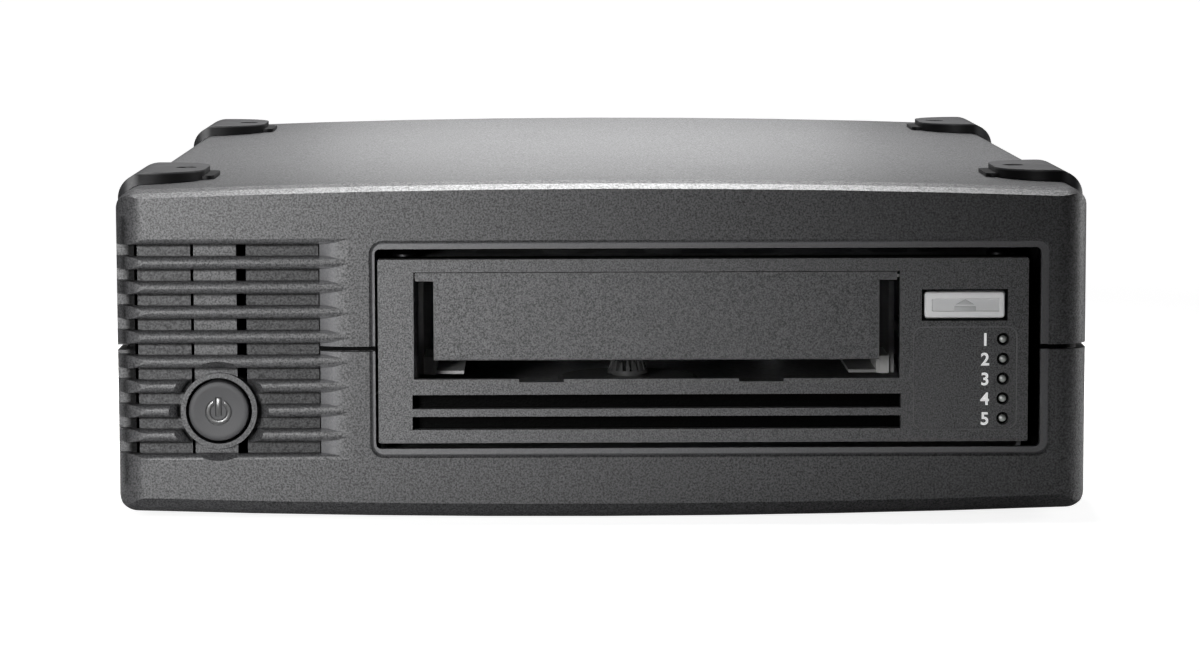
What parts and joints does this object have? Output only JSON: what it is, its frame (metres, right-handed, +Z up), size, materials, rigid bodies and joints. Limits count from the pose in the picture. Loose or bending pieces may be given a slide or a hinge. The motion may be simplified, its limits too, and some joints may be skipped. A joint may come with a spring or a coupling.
{
  "type": "data tape drive",
  "caption": "Desktop tape drive: ribbed vent field with round power button, half-height drive with swinging cartridge door, loading tray with cam and gears, reel, head, supply and fan.",
  "frame": {"origin": "centre of the footprint, on the plane that the feet stand on", "axes": "+X to the right seen from the front, +Y to the rear, +Z up"},
  "size_m": [0.2242, 0.266, 0.0785],
  "materials": {
    "case_plastic": "fine pebbled charcoal moulding",
    "pad_rubber": "smooth dark grey rubber",
    "dark_plastic": "dark moulding",
    "bezel_plastic": "fine pebbled charcoal moulding",
    "button_plastic": "satin charcoal",
    "eject_plastic": "satin mid grey",
    "tray_plastic": "satin grey",
    "lens_plastic": "clear satin lens",
    "steel_sheet": "zinc-plated sheet",
    "cast_base": "cast and machined",
    "machine_steel": "turned steel",
    "screw_steel": "plated",
    "spring_steel": "bright wire",
    "gear_plastic": "natural nylon",
    "board": "solder mask",
    "pin_metal": "plated contact",
    "copper": "wound wire",
    "capacitor": "sleeve"
  },
  "bodies": {
    "enclosure": {"base_shell": "case_plastic", "top_cover": "case_plastic", "feet": "pad_rubber", "pad_front_left": "pad_rubber", "pad_front_right": "pad_rubber", "pad_rear_left": "pad_rubber", "pad_rear_right": "pad_rubber", "vent_baffle": "dark_plastic", "power_switch": "dark_plastic", "power_spring": "spring_steel", "chassis_tray": "steel_sheet", "drive_base": "cast_base", "drive_lid": "steel_sheet", "drive_bezel": "bezel_plastic", "drive_connector": "dark_plastic", "controller_board": "board", "front_board": "board", "status_lenses": "lens_plastic", "door_hinge_pin": "machine_steel", "guide_plates": "steel_sheet", "load_motor": "machine_steel", "hub_motor": "machine_steel", "take_up_motor": "machine_steel", "tape_posts": "machine_steel", "coil_magnet": "machine_steel", "rear_panel": "steel_sheet", "fan_frame": "dark_plastic", "fan_screws": "screw_steel", "power_inlet": "dark_plastic", "inlet_pins": "pin_metal", "data_ports": "steel_sheet", "port_tongues": "capacitor", "port_board": "board", "supply_board": "board", "supply_transformer": "copper", "supply_capacitors": "capacitor", "supply_heat_sink": "cast_base", "case_screws": "screw_steel", "drive_screws": "screw_steel"},
    "door": {"cartridge_door": "bezel_plastic"},
    "power_button": {"power_button": "button_plastic"},
    "eject_button": {"eject_button": "eject_plastic"},
    "tray": {"cartridge_tray": "tray_plastic", "guide_shoes": "tray_plastic"},
    "cam": {"cam_slider": "steel_sheet"},
    "load_gear": {"load_gear": "gear_plastic"},
    "motor_pinion": {"motor_pinion": "gear_plastic"},
    "drive_hub": {"drive_hub": "gear_plastic"},
    "take_up_reel": {"take_up_reel": "dark_plastic"},
    "roller_1": {"tape_roller_1": "machine_steel"},
    "roller_2": {"tape_roller_2": "machine_steel"},
    "roller_3": {"tape_roller_3": "machine_steel"},
    "roller_4": {"tape_roller_4": "machine_steel"},
    "head": {"head_carriage": "cast_base", "tape_head": "machine_steel", "voice_coil": "copper"},
    "fan_rotor": {"fan_rotor": "dark_plastic"}
  },
  "joints": [
    {"name": "power_press", "type": "slide", "parent": "enclosure", "child": "power_button", "axis": [0, 1, 0], "range_m": [0, 0.002], "stiffness_N_per_m": 400, "springref_m": -0.002, "deforming": ["power_spring"]},
    {"name": "eject_press", "type": "slide", "parent": "enclosure", "child": "eject_button", "axis": [0, 1, 0], "range_m": [0, 0.001], "stiffness_N_per_m": 500, "springref_m": -0.001},
    {"name": "door_swing", "type": "hinge", "parent": "enclosure", "child": "door", "pos_m": [0.01235, -0.1304, 0.0558], "axis": [1, 0, 0], "range_deg": [0, 90], "stiffness_Nm_per_rad": 0.004, "springref_deg": -20.05},
    {"name": "cam_slide", "type": "slide", "parent": "enclosure", "child": "cam", "axis": [0, 1, 0], "range_m": [0, 0.02]},
    {"name": "tray_lift", "type": "slide", "parent": "enclosure", "child": "tray", "axis": [0, 0, 1], "range_m": [-0.004, 0]},
    {"name": "load_gear_turn", "type": "hinge", "parent": "enclosure", "child": "load_gear", "pos_m": [0.0725, -0.06, 0.0456], "axis": [1, 0, 0], "range_deg": [0, 180]},
    {"name": "motor_turn", "type": "hinge", "parent": "enclosure", "child": "motor_pinion", "pos_m": [0.0755, -0.0744, 0.0456], "axis": [1, 0, 0], "range_deg": [-466, 0]},
    {"name": "hub_spin", "type": "hinge", "parent": "enclosure", "child": "drive_hub", "pos_m": [0.0068, -0.073, 0.026], "axis": [0, 0, 1], "continuous": true},
    {"name": "reel_spin", "type": "hinge", "parent": "enclosure", "child": "take_up_reel", "pos_m": [0.05, 0.039, 0.035], "axis": [0, 0, 1], "continuous": true},
    {"name": "roller_1_spin", "type": "hinge", "parent": "enclosure", "child": "roller_1", "pos_m": [-0.037, 0.006, 0.036], "axis": [0, 0, 1], "continuous": true},
    {"name": "roller_2_spin", "type": "hinge", "parent": "enclosure", "child": "roller_2", "pos_m": [-0.031, 0.018, 0.036], "axis": [0, 0, 1], "continuous": true},
    {"name": "roller_3_spin", "type": "hinge", "parent": "enclosure", "child": "roller_3", "pos_m": [-0.031, 0.046, 0.036], "axis": [0, 0, 1], "continuous": true},
    {"name": "roller_4_spin", "type": "hinge", "parent": "enclosure", "child": "roller_4", "pos_m": [-0.008, 0.06, 0.036], "axis": [0, 0, 1], "continuous": true},
    {"name": "head_lift", "type": "slide", "parent": "enclosure", "child": "head", "axis": [0, 0, 1], "range_m": [-0.0025, 0.0025]},
    {"name": "fan_spin", "type": "hinge", "parent": "enclosure", "child": "fan_rotor", "pos_m": [0.01, 0.12, 0.0385], "axis": [0, 1, 0], "continuous": true}
  ],
  "couplings": [
    {"joint": "tray_lift", "follows": "cam_slide", "ratio": -0.2},
    {"joint": "load_gear_turn", "follows": "cam_slide", "rad_per_m": 156.25},
    {"joint": "motor_turn", "follows": "cam_slide", "rad_per_m": -406.25}
  ]
}
